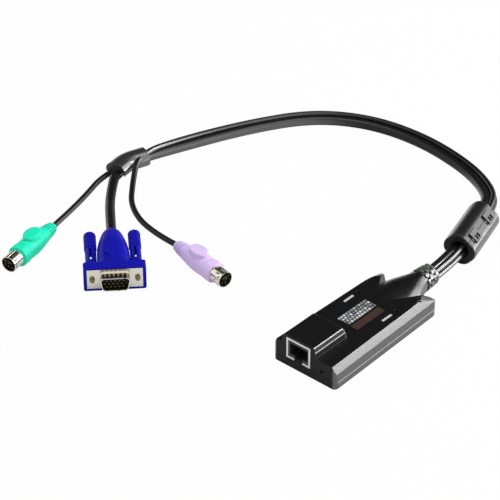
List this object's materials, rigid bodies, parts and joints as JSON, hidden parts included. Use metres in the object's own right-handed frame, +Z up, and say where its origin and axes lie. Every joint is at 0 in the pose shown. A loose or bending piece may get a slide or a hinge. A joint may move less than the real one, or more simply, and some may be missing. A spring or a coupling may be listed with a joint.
{
  "type": "kvm adapter cable",
  "caption": "Flat network-jack housing whose cables pass a ferrite and a sleeve, then split to a video plug and round keyboard and mouse plugs.",
  "frame": {"origin": "under the middle of the housing, on the surface it lies on", "axes": "+Z up; +Y along the housing from the network jack to the cable outlet; +X across it, to the right when looking along +Y"},
  "size_m": [0.2344, 0.2608, 0.021],
  "materials": {
    "case_black": "satin",
    "screw_steel": "satin",
    "board_green": "satin",
    "shield_tin": "bright tin plate",
    "insert_black": "matte",
    "contact_gold": "plated",
    "chip_black": "matte",
    "can_metal": "bright",
    "capacitor_sleeve": "gloss",
    "chip_ceramic": "matte",
    "led_clear": "gloss",
    "window_smoke": "gloss",
    "header_white": "matte",
    "lead_sheath": "satin",
    "grommet_grey": "satin",
    "cable_black": "satin",
    "ferrite_case": "satin",
    "ferrite_core": "matte",
    "sleeve_black": "satin",
    "plug_blue": "satin",
    "plug_tin": "bright tin plate",
    "insulator_black": "matte",
    "plug_green": "satin",
    "plug_purple": "satin"
  },
  "bodies": {
    "adapter": {"upper_cover": "case_black", "lower_cover": "case_black", "cover_screws": "screw_steel", "circuit_board": "board_green", "jack_shield": "shield_tin", "jack_insert": "insert_black", "jack_contacts": "contact_gold", "controller_chip": "chip_black", "memory_chip": "chip_black", "crystal": "can_metal", "capacitors": "capacitor_sleeve", "board_chips": "chip_ceramic", "signal_led_left": "led_clear", "signal_led_right": "led_clear", "window_left": "window_smoke", "window_right": "window_smoke", "cable_header": "header_white", "cable_leads": "lead_sheath", "cable_grommet": "grommet_grey", "video_cable": "cable_black", "mouse_cable": "cable_black", "keyboard_cable": "cable_black", "ferrite_case_lower": "ferrite_case", "ferrite_core_lower": "ferrite_core", "split_sleeve": "sleeve_black", "video_plug_hood": "plug_blue", "video_plug_shell": "plug_tin", "video_plug_insulator": "insulator_black", "video_plug_pins": "contact_gold", "mouse_plug_hood": "plug_green", "mouse_plug_shell": "plug_tin", "mouse_plug_insert": "insulator_black", "mouse_plug_pins": "contact_gold", "keyboard_plug_hood": "plug_purple", "keyboard_plug_shell": "plug_tin", "keyboard_plug_insert": "insulator_black", "keyboard_plug_pins": "contact_gold"},
    "left_thumbscrew": {"thumbscrew_left": "plug_blue", "thumbscrew_shaft_left": "screw_steel"},
    "right_thumbscrew": {"thumbscrew_right": "plug_blue", "thumbscrew_shaft_right": "screw_steel"},
    "ferrite_lid": {"ferrite_case_upper": "ferrite_case", "ferrite_core_upper": "ferrite_core"}
  },
  "joints": [
    {"name": "left_thumbscrew_turn", "type": "hinge", "parent": "adapter", "child": "left_thumbscrew", "pos_m": [-0.15087, -0.05394, 0.0074], "axis": [-0.7266, 0.6871, 0], "continuous": true},
    {"name": "right_thumbscrew_turn", "type": "hinge", "parent": "adapter", "child": "right_thumbscrew", "pos_m": [-0.13369, -0.03578, 0.0074], "axis": [-0.7266, 0.6871, 0], "continuous": true},
    {"name": "ferrite_lid_hinge", "type": "hinge", "parent": "adapter", "child": "ferrite_lid", "pos_m": [-0.01162, 0.10242, 0.00307], "axis": [0.2795, -0.9601, 0], "range_deg": [0, 75]}
  ]
}
